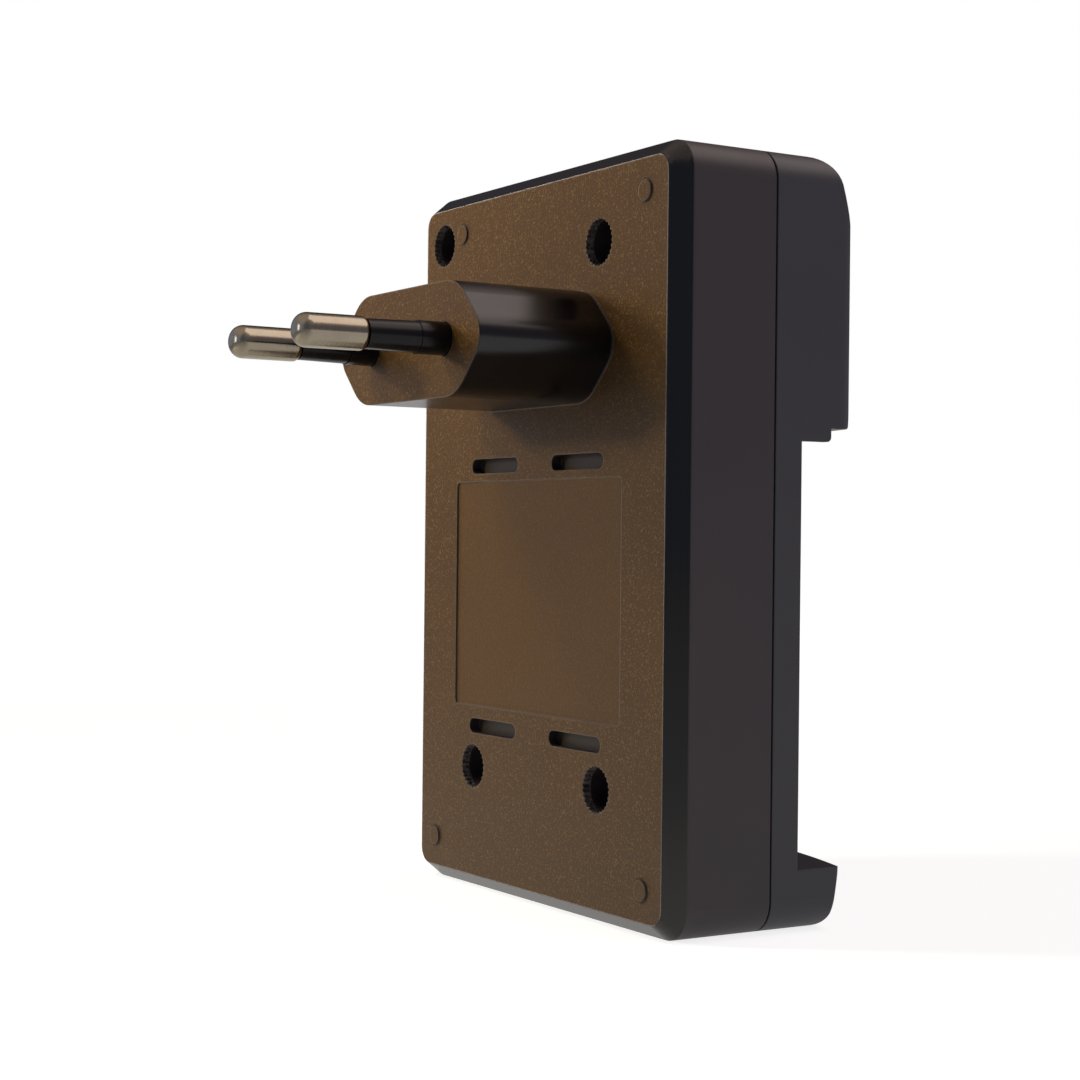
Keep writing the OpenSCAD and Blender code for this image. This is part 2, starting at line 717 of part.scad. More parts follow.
module fuse_resistor() color([0.20, 0.46, 0.40]) at_back() on_board(-22.2, 16.6) axial(2.8, 5, 1.8);
module output_diode() color([0.12, 0.12, 0.12]) at_back() on_board(14, 17.4) rotate([0, 0, 90])
    axial(2.8, 5, 1.8);
module rectifier_diodes() color([0.11, 0.11, 0.12]) at_back()
    for (x = [-24, -20.8], z = [20.5, 24.6]) on_board(x, z) rotate([0, 0, 90]) axial(1.9, 1.6, 1.2);
module board_resistors() color([0.74, 0.62, 0.42]) at_back()
    for (p = [[2, 5.4], [9.4, 5.4], [20.6, 5.4], [3.1, 24.8], [9.2, 24.8]])
        on_board(p[0], p[1]) axial(1.7, 3, 1.2);

module disc_capacitor() color([0.22, 0.40, 0.66]) at_back() on_board(-9.6, 8) {
    translate([0, 0, 4.4]) rotate([0, 90, 0]) cylinder(h = 2.6, d = 6.6, center = true);
    for (s = [-1, 1]) translate([0, s * 2, 0]) cylinder(h = 3, d = lead_d);
}

module power_transistor() color([0.10, 0.10, 0.10]) at_back() on_board(-3.4, 24.9) {
    translate([0, 0, 2]) linear_extrude(4.6) intersection() {
        circle(d = 4.6);
        translate([-3, -2.3]) square([6, 3.6]);
    }
    for (s = [-1:1]) translate([chip_pitch * s, 0, 1.05]) cube([0.44, 0.44, 2.1], center = true);
}

module control_chip() color([0.09, 0.09, 0.10]) at_back() on_board(-4.2, 5.8) {
    translate([0, 0, 0.85]) cube([4.9, 2.7, 1.4], center = true);
    for (i = [0:3], s = [-1, 1]) translate([(i - 1.5) * chip_pitch, s * 1.65, 0.2])
        cube([0.4, 0.9, 0.4], center = true);
}

module filter_choke() color([0.28, 0.17, 0.12]) at_back() on_board(18.5, 17.5) {
    for (z = [0, 5.4]) translate([0, 0, z]) cylinder(h = 1.2, d = 5.5);
    cylinder(h = 6, d = 4.4);
}

// Indicator lamp: round-nosed body, flange behind the head's wall, two legs to the board
module lamp(side) color([0.86, 0.90, 0.86]) at_back() {
    nose = head_face(lamp_x, 0) - lamp_out;
    translate([side * lamp_x, 0, lamp_z]) {
        translate([0, nose + lamp_d / 2, 0]) sphere(d = lamp_d);
        rod(0, 0, nose + lamp_d / 2, lamp_seat_y + fit, lamp_d);
        rod(0, 0, lamp_seat_y, lamp_seat_y + lamp_flange_t, lamp_flange_d);
        for (s = [-1, 1]) box(s * lamp_leg_x - lamp_leg_t / 2, s * lamp_leg_x + lamp_leg_t / 2,
            lamp_seat_y + lamp_flange_t - fit, board_front, -lamp_leg_t / 2, lamp_leg_t / 2);
    }
}
module lamp_left() lamp(-1);
module lamp_right() lamp(1);

// Plus contact: face under the head with a pressed dimple, tab through the wall, lead to the board
module plus_contact(i) color([0.80, 0.80, 0.78]) at_back() translate([cell_xs[i], 0, 0]) {
    difference() {
        union() {
            box(-plus_w / 2, plus_w / 2, cell_y - plus_w / 2, plus_tab_y + strip_t,
                head_z - strip_t - fit, head_z - fit);
            translate([0, cell_y, head_z - strip_t - fit - dimple_h])
                cylinder(h = dimple_h + fit, d1 = dimple_d - 1, d2 = dimple_d);
        }
        translate([0, cell_y, head_z - strip_t - dimple_h + fit])
            cylinder(h = strip_t + dimple_h, d1 = dimple_d - 2, d2 = dimple_d - 0.8);
    }
    translate([lead_x - strip_w / 2, 0, 0]) rotate([90, 0, 90]) linear_extrude(strip_w) {
        translate([plus_tab_y, head_z - strip_t - fit])
            square([strip_t, plus_lead_z - head_z + 2 * strip_t + fit]);
        translate([plus_tab_y, plus_lead_z]) square([board_front - plus_tab_y, strip_t]);
    }
}
module plus_contact_1() plus_contact(0);
module plus_contact_2() plus_contact(1);
module plus_contact_3() plus_contact(2);
module plus_contact_4() plus_contact(3);

// Minus strip: foot under the spring, run along the case, lead to the board
module minus_strip(i) color([0.82, 0.81, 0.78]) at_back() translate([cell_xs[i], 0, 0]) {
    translate([0, cell_y, wall]) cylinder(h = strip_t, d = spring_d + 2 * fit);
    box(-lead_x - strip_w / 2, strip_w / 2, cell_y, strip_y + strip_t, wall, wall + strip_t);
    translate([-lead_x - strip_w / 2, 0, 0]) rotate([90, 0, 90]) linear_extrude(strip_w) {
        translate([strip_y, wall]) square([strip_t, minus_lead_z - wall + strip_t]);
        translate([strip_y, minus_lead_z]) square([board_front - strip_y, strip_t]);
    }
}
module minus_strip_1() minus_strip(0);
module minus_strip_2() minus_strip(1);
module minus_strip_3() minus_strip(2);
module minus_strip_4() minus_strip(3);

// Climb of the spring's wire: t runs from 0 at the foot to 1 at the tip, and both ends lie flat
function coil_rise(t) =
    let (flat = 0.75 / spring_turns)
    t < flat ? 0 : t > 1 - flat ? 1 : (t - flat) / (1 - 2 * flat);
function coil_radius(t) = (spring_d * (1 - t) + spring_tip_d * t) / 2 - wire_d / 2;
function coil_point(t) =
    let (a = 360 * spring_turns * t, r = coil_radius(t))
    [r * cos(a), r * sin(a), wire_d / 2 + coil_rise(t) * (spring_l - wire_d)];
function coil_ring(t) =
    let (a = 360 * spring_turns * t, p = coil_point(t))
    [for (k = [0:wire_sides - 1]) let (b = 360 * (k + 0.5) / wire_sides)
        p + wire_d / 2 * (cos(b) * [cos(a), sin(a), 0] + sin(b) * [0, 0, 1])];

module minus_spring(i) color([0.84, 0.83, 0.80]) at_back()
    translate([cell_xs[i], cell_y, spring_seat_z + fit]) {
    n = ceil(spring_turns * steps_per_turn);
    rings = [for (j = [0:n]) each coil_ring(j / n)];
    sides = [for (j = [0:n - 1], k = [0:wire_sides - 1])
        let (a = j * wire_sides + k, b = j * wire_sides + (k + 1) % wire_sides)
        [a, a + wire_sides, b + wire_sides, b]];
    ends = [[for (k = [0:wire_sides - 1]) k],
        [for (k = [wire_sides - 1:-1:0]) n * wire_sides + k]];
    polyhedron(points = rings, faces = concat(sides, ends));
}
module minus_spring_1() minus_spring(0);
module minus_spring_2() minus_spring(1);
module minus_spring_3() minus_spring(2);
module minus_spring_4() minus_spring(3);

rear_shell();
front_shell();
case_screws();
pin_left();
pin_right();
sleeve_left();
sleeve_right();
mains_spring_left();
mains_spring_right();
circuit_board();
transformer_core();
transformer_bobbin();
transformer_winding();
bulk_capacitor();
output_capacitor();
disc_capacitor();
fuse_resistor();
rectifier_diodes();
output_diode();
power_transistor();
control_chip();
filter_choke();
board_resistors();
lamp_left();
lamp_right();
plus_contact_1();
plus_contact_2();
plus_contact_3();
plus_contact_4();
minus_spring_1();
minus_spring_2();
minus_spring_3();
minus_spring_4();
minus_strip_1();
minus_strip_2();
minus_strip_3();
minus_strip_4();
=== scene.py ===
import math

import bpy
from mathutils import Matrix, Vector


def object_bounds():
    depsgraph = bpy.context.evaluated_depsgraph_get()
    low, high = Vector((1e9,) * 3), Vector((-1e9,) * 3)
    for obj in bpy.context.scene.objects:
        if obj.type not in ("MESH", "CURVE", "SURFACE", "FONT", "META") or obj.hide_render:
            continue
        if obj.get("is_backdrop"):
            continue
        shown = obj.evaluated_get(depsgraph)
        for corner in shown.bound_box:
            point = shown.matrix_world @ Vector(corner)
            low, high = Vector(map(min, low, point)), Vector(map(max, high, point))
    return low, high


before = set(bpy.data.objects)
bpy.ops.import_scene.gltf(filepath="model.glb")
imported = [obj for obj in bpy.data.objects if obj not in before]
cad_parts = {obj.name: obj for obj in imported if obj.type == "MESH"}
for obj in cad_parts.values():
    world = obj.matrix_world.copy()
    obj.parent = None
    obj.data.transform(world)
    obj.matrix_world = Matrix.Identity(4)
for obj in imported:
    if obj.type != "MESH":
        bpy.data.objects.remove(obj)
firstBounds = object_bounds()
mm = 0.001
print("frame loaded:", len(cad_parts), "nodes")

# Places that several surfaces share, in mm, as the model has them
case = {
    "backY": -3.225,       # the flat back face
    "halfWidth": 30.3,
    "height": 91.7,
    "bevelIn": 1.85,
    "bevelDeep": 2.3,
    "panelDeep": 0.25,
    "discs": [(18.6, 86.0), (-24.0, 86.0), (24.6, 5.8), (-24.4, 5.6)],
    "discRadius": 1.25,
    "wells": [(23.7, 85.1), (-14.2, 81.2), (14.7, 16.1), (-14.7, 16.1)],
    "wellRadius": 2.7,
    "edgeRadius": 0.28,    # how round the moulded edges catch the light
}


# One output of a node that takes part in sums, so that shader formulas read as formulas
class Wire:
    def __init__(self, graph, socket):
        self.graph = graph
        self.socket = socket

    def __add__(self, other):
        return self.graph.calc("ADD", self, other)

    def __radd__(self, other):
        return self.graph.calc("ADD", other, self)

    def __sub__(self, other):
        return self.graph.calc("SUBTRACT", self, other)

    def __rsub__(self, other):
        return self.graph.calc("SUBTRACT", other, self)

    def __mul__(self, other):
        return self.graph.calc("MULTIPLY", self, other)

    def __rmul__(self, other):
        return self.graph.calc("MULTIPLY", other, self)

    def __neg__(self):
        return self.graph.calc("MULTIPLY", self, -1.0)

    def __gt__(self, other):
        return self.graph.calc("GREATER_THAN", self, other)

    def __lt__(self, other):
        return self.graph.calc("LESS_THAN", self, other)

    def absolute(self):
        return self.graph.calc("ABSOLUTE", self)

    def clamped(self):
        return self.graph.calc("ADD", self, 0.0, clamp=True)


# A node tree, of a material or of the world, filled by formulas
class Graph:
    def __init__(self, owner):
        owner.use_nodes = True
        self.owner = owner
        self.tree = owner.node_tree
        self.tree.nodes.clear()
        self.count = 0

    # Any node: its type, its settings, its inputs by name or number, and which output is wanted
    def node(self, kind, settings=None, inputs=None, out=0):
        made = self.tree.nodes.new(kind)
        made.location = (180 * (self.count % 12), -220 * (self.count // 12))
        self.count += 1
        for key, value in (settings or {}).items():
            setattr(made, key, value)
        for key, value in (inputs or {}).items():
            self.feed(made.inputs[key], value)
        return Wire(self, made.outputs[out]) if len(made.outputs) else None

    def feed(self, socket, value):
        if isinstance(value, Wire):
            self.tree.links.new(value.socket, socket)
        elif hasattr(socket.default_value, "__len__") and not hasattr(value, "__len__"):
            socket.default_value = [value] * len(socket.default_value)
        else:
            socket.default_value = value

    def calc(self, operation, a, b=None, clamp=False):
        inputs = {0: a} if b is None else {0: a, 1: b}
        return self.node("ShaderNodeMath", {"operation": operation, "use_clamp": clamp}, inputs)

    def vector(self, operation, a, b, out=0):
        return self.node("ShaderNodeVectorMath", {"operation": operation}, {0: a, 1: b}, out)

    # Straight step from 0 at low to 1 at high
    def ramp(self, value, low, high):
        return self.node("ShaderNodeMapRange", {"clamp": True},
                         {"Value": value, "From Min": low, "From Max": high})

    # Soft step from 0 at low to 1 at high
    def ease(self, value, low, high):
        return self.node("ShaderNodeMapRange", {"clamp": True, "interpolation_type": "SMOOTHSTEP"},
                         {"Value": value, "From Min": low, "From Max": high})

    # Colour that goes from the first to the second as the factor goes from 0 to 1
    def colour(self, factor, first, second):
        return self.node("ShaderNodeMix", {"data_type": "RGBA"}, {0: factor, 6: first, 7: second}, out=2)

    def place(self, kind="Object"):
        return self.node("ShaderNodeTexCoord", out=kind)

    def split(self, vector):
        made = self.node("ShaderNodeSeparateXYZ", inputs={0: vector})
        return [Wire(self, out) for out in made.socket.node.outputs]

    # The face's own direction, without bumps
    def facing(self):
        return self.node("ShaderNodeNewGeometry", out="True Normal")

    # The same direction with the edges turned over by a small radius
    def rounded(self, radius):
        return self.node("ShaderNodeBevel", {"samples": 6}, {"Radius": radius})

    def noise(self, place, scale, detail=2.0, roughness=0.5):
        return self.node("ShaderNodeTexNoise", inputs={
            "Vector": place, "Scale": scale, "Detail": detail, "Roughness": roughness})

    def cells(self, place, scale):
        return self.node("ShaderNodeTexVoronoi", inputs={"Vector": place, "Scale": scale})

    def stretch(self, place, scales):
        return self.vector("MULTIPLY", place, scales)

    # How far a point is from the nearest of some places, given in mm: the smallest of
    # sqrt((x - placeX)^2 + (z - placeZ)^2)
    def nearest(self, x, z, places):
        found = None
        for placeX, placeZ in places:
            acrossX, acrossZ = x - placeX * mm, z - placeZ * mm
            away = self.calc("SQRT", acrossX * acrossX + acrossZ * acrossZ)
            found = away if found is None else self.calc("MINIMUM", found, away)
        return found

    # Bumps, on a face whose edges are turned over if a rounded direction is given
    def bump(self, height, distance, under=None):
        inputs = {"Strength": 1.0, "Distance": distance, "Height": height}
        if under is not None:
            inputs["Normal"] = under
        return self.node("ShaderNodeBump", inputs=inputs)

    # How the surroundings are met: 1 where the camera sees them, and 1 where a glossy or clear piece does
    def meetsBackground(self):
        rays = self.node("ShaderNodeLightPath").socket.node.outputs
        seen, glossy, passed = [Wire(self, rays[name]) for name in
                                ("Is Camera Ray", "Is Glossy Ray", "Is Transmission Ray")]
        return seen, glossy + passed

    def surface(self, **inputs):
        shader = self.node("ShaderNodeBsdfPrincipled",
                           inputs={key.replace("_", " "): value for key, value in inputs.items()})
        self.node("ShaderNodeOutputMaterial", inputs={"Surface": shader})
        return self.owner


def newGraph(name):
    return Graph(bpy.data.materials.new(name))


def rgb(r, g, b):
    return (r, g, b, 1.0)


def dress(names, material):
    for name in names:
        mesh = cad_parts[name].data
        mesh.materials.clear()
        mesh.materials.append(material)


# Rear half of the case: with grain on the faces towards the wall, smooth on its sides and on the plug. The
# brown of those faces is a painted warm sheen on black plastic.
# Sizes of the patterns are counts per metre.
rear = {
    "black": rgb(0.0310, 0.0255, 0.0315),
    "blackWarm": rgb(0.0380, 0.0305, 0.0345),
    "polished": rgb(0.0030, 0.0026, 0.0040),
    # painted highlight on the teeth at the mouths of the screw wells
    "mouth": rgb(0.26, 0.245, 0.25),
    # dim painted warm sheen on the slot floors
    "recessSheen": rgb(0.030, 0.021, 0.012),
    # painted highlight along the rounded edges
    "edge": rgb(0.75, 0.74, 0.76),
    # painted warm sheen: this brown stands in for a warm light's reflection on the black grain
    "grainedSheen": rgb(0.049, 0.0225, 0.0022),
    "grainedSheenPale": rgb(0.116, 0.0560, 0.0070),
    # painted glints on the grain
    "glint": rgb(0.29, 0.205, 0.105),
    "bevel": rgb(0.0050, 0.0058, 0.0085),
    "grainSize": 4800.0,
    "pitSize": 2640.0,
    "fineSize": 1400.0,
    "handledSize": 160.0,
    "broadSize": 38.0,
    "waveSize": (900.0, 900.0, 16.0),    # drawn out along the bevel
    "grainHeight": 0.00004,
    "grainRoughness": 0.50,
    "sideRoughness": 0.44,
    "bevelRoughness": 0.09,
    "plugRoughness": 0.24,
}


def rearMaterial():
    g = newGraph("caseRear")
    place = g.place()
    x, y, z = g.split(place)
    outward = g.split(g.facing())[1]
    rounded = g.rounded(case["edgeRadius"] * mm)
    back = case["backY"] * mm
    # the faces towards the wall, but not the floors of the slots and wells
    flat = (outward > 0.95) * (y > back - (case["panelDeep"] + 0.2) * mm)
    onPlug = (y > back + 0.3 * mm) * (1.0 - flat)
    # the bevel runs round the back face, outside the flat
    inset = case["bevelIn"] + 0.3
    sideRim = x.absolute() > (case["halfWidth"] - inset) * mm
    rim = sideRim + (z < inset * mm) + (z > (case["height"] - inset) * mm)
    rim = rim.clamped()
    bevel = rim * (y > back - (case["bevelDeep"] - 0.05) * mm) * (1.0 - flat) * (outward > 0.3)
    grain = g.noise(place, rear["grainSize"], 1.5, 0.6)
    pits = g.cells(place, rear["pitSize"])
    broad = g.noise(place, rear["broadSize"], 3.0, 0.55)
    fine = g.noise(place, rear["fineSize"], 3.0, 0.7)
    wave = g.noise(g.stretch(place, rear["waveSize"]), 1.0, 2.0, 0.5)
    handled = g.noise(g.stretch(place, (1.0, 1.0, 0.35)), rear["handledSize"], 4.0, 0.6)
    # the painted warm sheen of the faces with grain is paler where the grain stands up, and a little by
    # place
    pale = (g.ramp(grain, 0.44, 0.66) * 0.55 + broad * 0.45).clamped()
    grainedSheen = g.colour(pale, rear["grainedSheen"], rear["grainedSheenPale"])
    # painted glints speckle the faces with grain where the grain stands highest; the sunk panel is
    # smoother than the face round it, so it gets fewer painted glints and a paler painted sheen
    panel = flat * (y < back - case["panelDeep"] * 0.5 * mm)
    grainedSheen = g.colour(g.ramp(grain, 0.60, 0.72) * (0.6 - panel * 0.35), grainedSheen, rear["glint"])
    grainedSheen = g.colour(panel * 0.25, grainedSheen, rear["grainedSheenPale"])
    # a fine ring is pressed round each small disc, with its shade painted dark: 1 where the way from its
    # middle is the ring's radius
    ringRadius = (case["discRadius"] + 0.12) * mm
    fromRing = (g.nearest(x, z, case["discs"]) - ringRadius).absolute()
    ring = (1.0 - g.ramp(fromRing, 0.04 * mm, 0.13 * mm)) * flat
    # painted shade in the ring
    grainedSheen = g.colour(ring * 0.75, grainedSheen, rear["black"])
    # painted highlight: the edges of the faces with grain are painted pale where their rounding would
    # catch the light, most at the bevel:
    # edgeTurn = 1 - (rounded direction . true direction)
    edgeTurn = 1.0 - g.vector("DOT_PRODUCT", rounded, g.facing(), out=1)
    edge = g.ramp(edgeTurn, 0.01, 0.06) * flat
    grainedSheen = g.colour(edge * (rim * 0.6 + 0.12), grainedSheen, rear["edge"])
    dark = g.colour(g.ramp(broad, 0.35, 0.65), rear["black"], rear["blackWarm"])
    dark = g.colour(bevel, dark, rear["bevel"])
    dark = g.colour(onPlug, dark, rear["polished"])
    # the first millimetre of the screw wells is toothed, and its teeth get a painted highlight where they
    # would catch light
    inWell = g.nearest(x, z, case["wells"]) < (case["wellRadius"] + 0.4) * mm
    mouth = inWell * (y > back - 1.0 * mm) * (1.0 - flat) * (outward < 0.5)
    dark = g.colour(mouth * g.ramp(fine, 0.35, 0.6), dark, rear["mouth"])
    # the floors of the slots get a dim painted warm sheen, browner than the sides
    slotFloor = (y < back - 0.45 * mm) * (outward > 0.5) * (1.0 - rim)
    dark = g.colour(slotFloor, dark, rear["recessSheen"])
    base = g.colour(flat, dark, grainedSheen)
    smooth = rear["sideRoughness"] + (handled - 0.5) * 0.10 + (fine - 0.5) * 0.06
    smooth = smooth * (1.0 - onPlug) + (rear["plugRoughness"] + (handled - 0.5) * 0.06) * onPlug
    smooth = smooth * (1.0 - bevel) + (rear["bevelRoughness"] + (fine - 0.5) * 0.03) * bevel
    rough = smooth * (1.0 - flat) + (rear["grainRoughness"] + (grain - 0.5) * 0.25) * flat
    grainBumps = (grain * 0.6 + pits * 0.5) * flat
    sideBumps = (fine * 0.05 + grain * 0.04) * (1.0 - flat) * (1.0 - bevel)
    height = grainBumps + sideBumps - ring * 2.0 + wave * bevel * sideRim * 3.0
    return g.surface(Base_Color=base, Roughness=rough, IOR=1.5,
                     Normal=g.bump(height, rear["grainHeight"], rounded))


dress(["rear_shell"], rearMaterial())
print("rear half dressed")

# Front half of the case: finer grain, a little cooler
front = {
    "black": rgb(0.0330, 0.0330, 0.0410),
    "blackPale": rgb(0.0400, 0.0400, 0.0490),
    "roughness": 0.42,
    "grainSize": 3000.0,
    "broadSize": 45.0,
    "dragSize": (2600.0, 160.0, 90.0),
    "grainHeight": 0.000004,
}


def frontMaterial():
    g = newGraph("caseFront")
    place = g.place()
    broad = g.noise(place, front["broadSize"], 3.0, 0.55)
    fine = g.noise(place, front["grainSize"], 2.0, 0.6)
    # faint drag marks along the way the cells slide in
    drag = g.noise(g.stretch(place, front["dragSize"]), 1.0, 3.0, 0.6)
    base = g.colour(g.ramp(broad, 0.35, 0.68), front["black"], front["blackPale"])
    rough = front["roughness"] + (broad - 0.5) * 0.10 + (drag - 0.5) * 0.07
    height = fine * 0.8 + drag * 0.25
    return g.surface(Base_Color=base, Roughness=rough, IOR=1.5,
                     Normal=g.bump(height, front["grainHeight"], g.rounded(case["edgeRadius"] * mm)))


dress(["front_shell"], frontMaterial())
print("front half dressed")

# finish: darker and paler colour, roughness, streaks per metre along X, Y and Z, and their height
metal = {
    "nickel": (rgb(0.215, 0.190, 0.140), rgb(0.42, 0.375, 0.295), 0.17, (160.0, 5200.0, 160.0), 0.000007),
    "contact": (rgb(0.68, 0.66, 0.62), rgb(0.80, 0.78, 0.74), 0.26, (3200.0, 3200.0, 120.0), 0.0000015),
    "screw": (rgb(0.42, 0.42, 0.40), rgb(0.58, 0.58, 0.55), 0.34, (2400.0, 240.0, 2400.0), 0.0000015),
    "bronze": (rgb(0.62, 0.42, 0.16), rgb(0.76, 0.56, 0.26), 0.30, (3000.0, 200.0, 200.0), 0.0000015),
}


# Drawn or turned metal: streaks run along or round the piece, with small duller spots
def metalMaterial(name):
    low, high, roughness, streaks, streakHeight = metal[name]
    g = newGraph(name)
    place = g.place()
    line = g.noise(g.stretch(place, streaks), 1.0, 4.0, 0.65)
    cloud = g.noise(place, 330.0, 4.0, 0.6)
    spots = g.ramp(g.cells(place, 900.0), 0.06, 0.16)
    base = g.colour((cloud * 0.6 + line * 0.4).clamped(), low, high)
    rough = roughness + (cloud - 0.5) * 0.16 + (line - 0.5) * 0.14 + (1.0 - spots) * 0.12
    return g.surface(Base_Color=base, Metallic=1.0, Roughness=rough.clamped(),
                     Normal=g.bump(line + spots * 0.2, streakHeight))


contactNodes = [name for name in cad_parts
                if name.startswith(("plus_contact", "minus_spring", "minus_strip"))]
dress(["pin_left", "pin_right"], metalMaterial("nickel"))
dress(contactNodes, metalMaterial("contact"))
dress(["case_screws"], metalMaterial("screw"))
dress(["mains_spring_left", "mains_spring_right"], metalMaterial("bronze"))
print("metal dressed")


# Plain piece of one colour with a second one worked in by broad and fine noise
def coatedMaterial(name, low, high, roughness, shine=0.5, size=420.0, height=0.000006):
    g = newGraph(name)
    place = g.place()
    broad = g.noise(place, size, 3.0, 0.55)
    fine = g.noise(place, size * 9.0, 3.0, 0.65)
    base = g.colour((broad * 0.7 + fine * 0.3).clamped(), low, high)
    rough = roughness + (broad - 0.5) * 0.12 + (fine - 0.5) * 0.10
    return g.surface(Base_Color=base, Roughness=rough.clamped(), Specular_IOR_Level=shine,
                     Normal=g.bump(fine, height))


# nodes: name of the finish, darker and paler colour, roughness, and how much it mirrors if not 0.5
coated = {
    "sleeve_left sleeve_right": ("sleeve", rgb(0.003, 0.003, 0.004), rgb(0.007, 0.006, 0.008), 0.22, 0.25),
    "circuit_board": ("board", rgb(0.012, 0.085, 0.030), rgb(0.025, 0.150, 0.050), 0.32),
    "transformer_core filter_choke": ("ferrite", rgb(0.020, 0.020, 0.022), rgb(0.050, 0.049, 0.050), 0.62),
    "transformer_bobbin control_chip power_transistor output_diode rectifier_diodes":
        ("blackPart", rgb(0.008, 0.008, 0.009), rgb(0.022, 0.022, 0.023), 0.42),
    "transformer_winding": ("windingTape", rgb(0.52, 0.35, 0.035), rgb(0.72, 0.53, 0.08), 0.30),
    "bulk_capacitor": ("capacitorBlue", rgb(0.006, 0.010, 0.040), rgb(0.014, 0.022, 0.075), 0.28),
    "output_capacitor": ("capacitorGreen", rgb(0.006, 0.040, 0.026), rgb(0.014, 0.075, 0.045), 0.28),
    "disc_capacitor": ("discBlue", rgb(0.015, 0.08, 0.30), rgb(0.04, 0.16, 0.46), 0.34),
    "fuse_resistor": ("fuseGreen", rgb(0.03, 0.16, 0.11), rgb(0.06, 0.24, 0.17), 0.6),
    "board_resistors": ("resistorTan", rgb(0.42, 0.25, 0.09), rgb(0.58, 0.38, 0.17), 0.4),
}
for names, finish in coated.items():
    dress(names.split(), coatedMaterial(*finish))


lamp = {
    "clear": rgb(0.72, 0.80, 0.74),
    "clearPale": rgb(0.90, 0.94, 0.90),
    "roughness": 0.12,
    "letsThrough": 0.75,
}


def lampMaterial():
    g = newGraph("lamp")
    cloud = g.noise(g.place(), 700.0, 3.0, 0.6)
    base = g.colour(cloud, lamp["clear"], lamp["clearPale"])
    rough = lamp["roughness"] + (cloud - 0.5) * 0.10
    return g.surface(Base_Color=base, Roughness=rough.clamped(),
                     Transmission_Weight=lamp["letsThrough"], IOR=1.5)


dress(["lamp_left", "lamp_right"], lampMaterial())
print("small pieces dressed")

studio = {
    "floorSize": 6.0,
    "floorColour": rgb(0.60, 0.60, 0.60),
    "floorDull": rgb(0.58, 0.58, 0.58),
    "floorLift": 0.78,              # white added to the paper close to the charger
    "liftRange": (0.12, 0.7),       # from here to there the added white grows to its full
    "floorMirror": (0.50, 0.20),    # white added where glossy surfaces mirror it, bay side and wall side
    "worldLight": 0.05,             # how much the room lights matt surfaces
    # what glossy surfaces mirror, towards the wall, towards the bay's side and from above
    "wallSide": rgb(0.37, 0.40, 0.50),
    "frontSide": rgb(0.20, 0.18, 0.215),
    "above": rgb(0.62, 0.51, 0.46),
    "strip": rgb(3.0, 3.1, 3.3),
    "white": rgb(1.0, 1.0, 1.0),
    "dark": rgb(0.0, 0.0, 0.0),
    # size in metres, power in watts, matt: lights matt surfaces, gloss: shows in glossy ones
    "lights": {
        "keyLight": {"at": (0.120, 0.200, 0.118), "towards": (0.0, 0.0, 0.06), "size": (0.03, 0.03),
                     "power": 0.33, "tint": (1.0, 0.90, 0.72), "matt": True, "gloss": False},
        "glintLight": {"at": (0.120, 0.200, 0.118), "towards": (0.0, 0.0, 0.06), "size": (0.03, 0.03),
                       "power": 0.035, "tint": (1.0, 0.86, 0.66), "matt": False, "gloss": True},
        "upperLight": {"at": (0.048, 0.070, 0.130), "towards": (0.0, 0.0, 0.07), "size": (0.03, 0.02),
                       "power": 0.058, "tint": (1.0, 0.90, 0.70), "matt": True, "gloss": False},
        "topLight": {"at": (-0.25, -0.45, 1.0), "towards": (0.0, 0.0, 0.05), "size": (0.9, 0.9),
                     "power": 3.2, "tint": (1.0, 0.86, 0.82), "matt": True, "gloss": True},
        "sideLight": {"at": (-0.9, -0.45, 0.25), "towards": (0.0, 0.0, 0.05), "size": (0.7, 0.7),
                      "power": 2.9, "tint": (0.97, 0.95, 1.0), "matt": True, "gloss": False},
    },
}


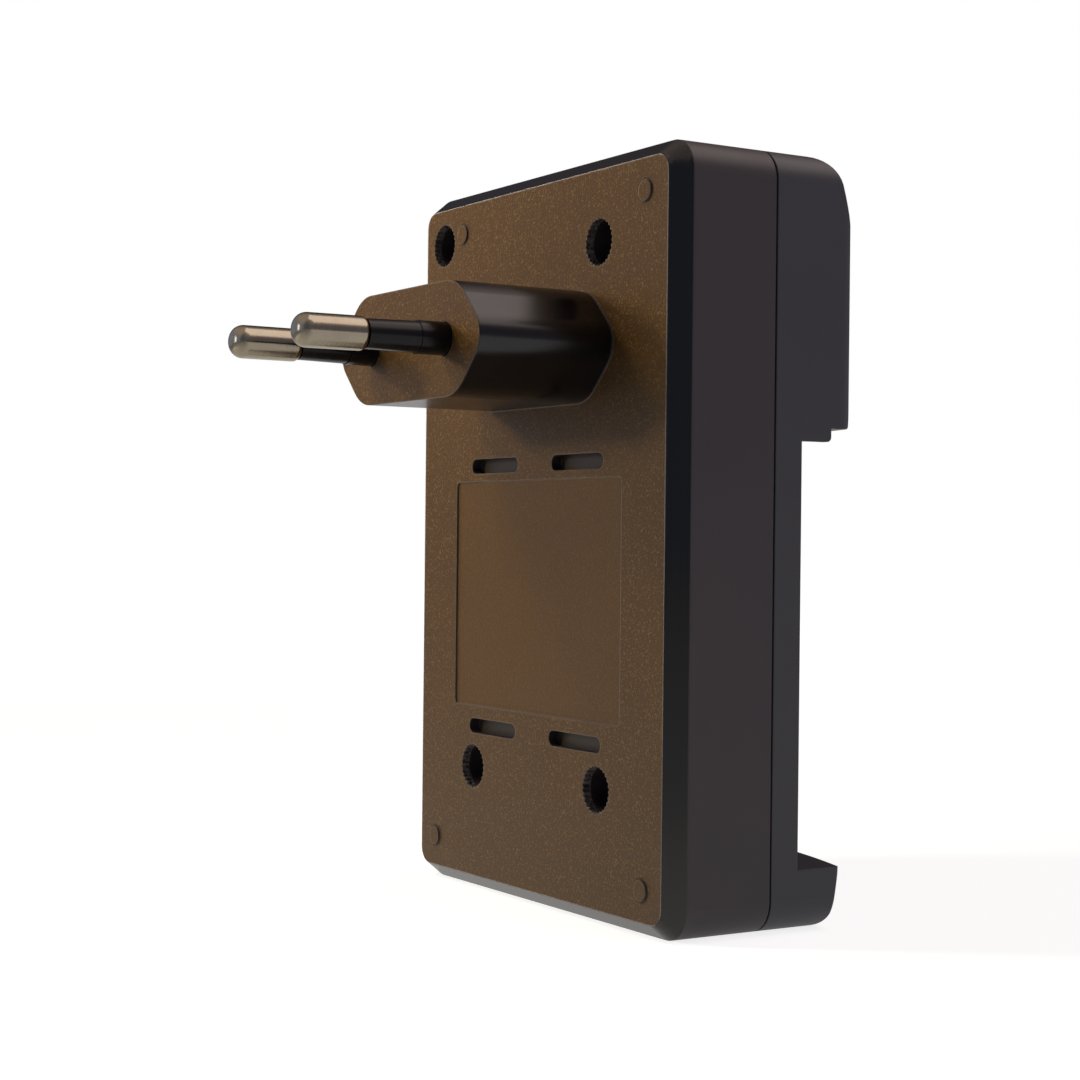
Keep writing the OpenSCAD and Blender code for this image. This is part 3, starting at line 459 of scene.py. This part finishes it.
def buildFloor():
    half = studio["floorSize"] / 2
    mesh = bpy.data.meshes.new("floor")
    corners = [(-half, -half, 0), (half, -half, 0), (half, half, 0), (-half, half, 0)]
    mesh.from_pydata(corners, [], [(0, 1, 2, 3)])
    floor = bpy.data.objects.new("floor", mesh)
    bpy.context.scene.collection.objects.link(floor)
    g = newGraph("floor")
    cloud = g.noise(g.place(), 3.0, 2.0, 0.5)
    base = g.colour(cloud, studio["floorDull"], studio["floorColour"])
    matt = g.node("ShaderNodeBsdfDiffuse", inputs={"Color": base})
    # the paper turns pure white away from the charger, and keeps its shadow close by
    far = g.ramp(g.vector("LENGTH", g.place(), (0, 0, 0), out=1), *studio["liftRange"])
    glow = far * (1.0 - studio["floorLift"]) + studio["floorLift"]
    seen, mirrored = g.meetsBackground()
    y = g.split(g.place())[1]
    bayShare, wallShare = studio["floorMirror"]
    shown = g.ease(y, -0.04, 0.10) * (wallShare - bayShare) + bayShare
    level = (seen * glow + mirrored * shown).clamped()
    lift = g.node("ShaderNodeEmission", inputs={
        "Color": g.colour(level, studio["dark"], studio["white"]), "Strength": 1.0})
    both = g.node("ShaderNodeAddShader", inputs={0: matt, 1: lift})
    g.node("ShaderNodeOutputMaterial", inputs={"Surface": both})
    mesh.materials.append(g.owner)
    floor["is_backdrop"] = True


def buildWorld():
    world = bpy.data.worlds.new("studio")
    bpy.context.scene.world = world
    g = Graph(world)
    x, y, z = g.split(g.place("Generated"))
    seen, mirrored = g.meetsBackground()
    ahead = g.ease(-y, -0.45, 0.45)
    above = g.ease(z, 0.35, 0.8)
    mirror = g.colour(ahead, studio["wallSide"], studio["frontSide"])
    mirror = g.colour(above, mirror, studio["above"])
    # a tall pale strip stands towards the wall, and shows along the rounded edges
    strip = g.ease(x, 0.08, 0.14) * (1.0 - g.ease(x, 0.36, 0.42)) * (y > 0.0)
    strip = strip * (1.0 - g.ease(z.absolute(), 0.3, 0.4))
    # two dark screens stand in the studio, one beyond the front and one by the camera
    bayScreen = g.ease(x, 0.1, 0.7) * ahead * 0.85
    cameraScreen = g.ease(-x, 0.30, 0.65) * (1.0 - ahead) * 0.55
    screens = (1.0 - bayScreen) * (1.0 - cameraScreen)
    mirror = g.colour(1.0 - screens, mirror, studio["dark"])
    mirror = g.colour(strip, mirror, studio["strip"])
    room = studio["worldLight"]
    sky = g.colour(mirrored.clamped(), rgb(room, room, room), mirror)
    sky = g.colour(seen, sky, studio["white"])
    light = g.node("ShaderNodeBackground", inputs={"Color": sky, "Strength": 1.0})
    g.node("ShaderNodeOutputWorld", inputs={"Surface": light})


def aimed(position, target):
    away = (Vector(target) - Vector(position)).to_track_quat("-Z", "Y")
    return Matrix.Translation(Vector(position)) @ away.to_matrix().to_4x4()


def buildLights():
    for name, row in studio["lights"].items():
        light = bpy.data.lights.new(name, "AREA")
        light.shape = "RECTANGLE"
        light.size, light.size_y = row["size"]
        light.energy = row["power"]
        light.color = row["tint"]
        held = bpy.data.objects.new(name, light)
        held.matrix_world = aimed(row["at"], row["towards"])
        held.visible_diffuse = row["matt"]
        held.visible_glossy = row["gloss"]
        bpy.context.scene.collection.objects.link(held)


# The camera stands level with the lower half of the case, turned a little about its own axis
camera = {
    "position": (-0.220406, 0.131377, 0.045630),
    "azimuth": 238.41,
    "elevation": -0.017,
    "roll": 0.60,
    "lens": 69.01,
    "filmWidth": 36.0,
    "nearest": 0.01,
}


def buildCamera():
    turn = math.radians(camera["azimuth"])
    rise = math.radians(camera["elevation"])
    roll = math.radians(camera["roll"])
    back = Vector((math.sin(turn) * math.cos(rise), -math.cos(turn) * math.cos(rise), math.sin(rise)))
    right = Vector((math.cos(turn), math.sin(turn), 0.0))
    up = back.cross(right)
    across = right * math.cos(roll) + up * math.sin(roll)
    upward = up * math.cos(roll) - right * math.sin(roll)
    data = bpy.data.cameras.new("camera")
    data.lens = camera["lens"]
    data.sensor_width = camera["filmWidth"]
    data.clip_start = camera["nearest"]
    held = bpy.data.objects.new("camera", data)
    turned = Matrix((across, upward, back)).transposed().to_4x4()
    held.matrix_world = Matrix.Translation(Vector(camera["position"])) @ turned
    bpy.context.scene.collection.objects.link(held)
    bpy.context.scene.camera = held


buildFloor()
buildWorld()
buildLights()
buildCamera()
bpy.context.scene.view_settings.view_transform = "Standard"
print("studio built")


def plain(value):
    if isinstance(value, dict):
        return {key: plain(part) for key, part in value.items()}
    if hasattr(value, "__len__") and not isinstance(value, str):
        return [plain(part) for part in value]
    return value if isinstance(value, str) else float(value)


{"atLoad": plain(firstBounds), "atEnd": plain(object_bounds())}
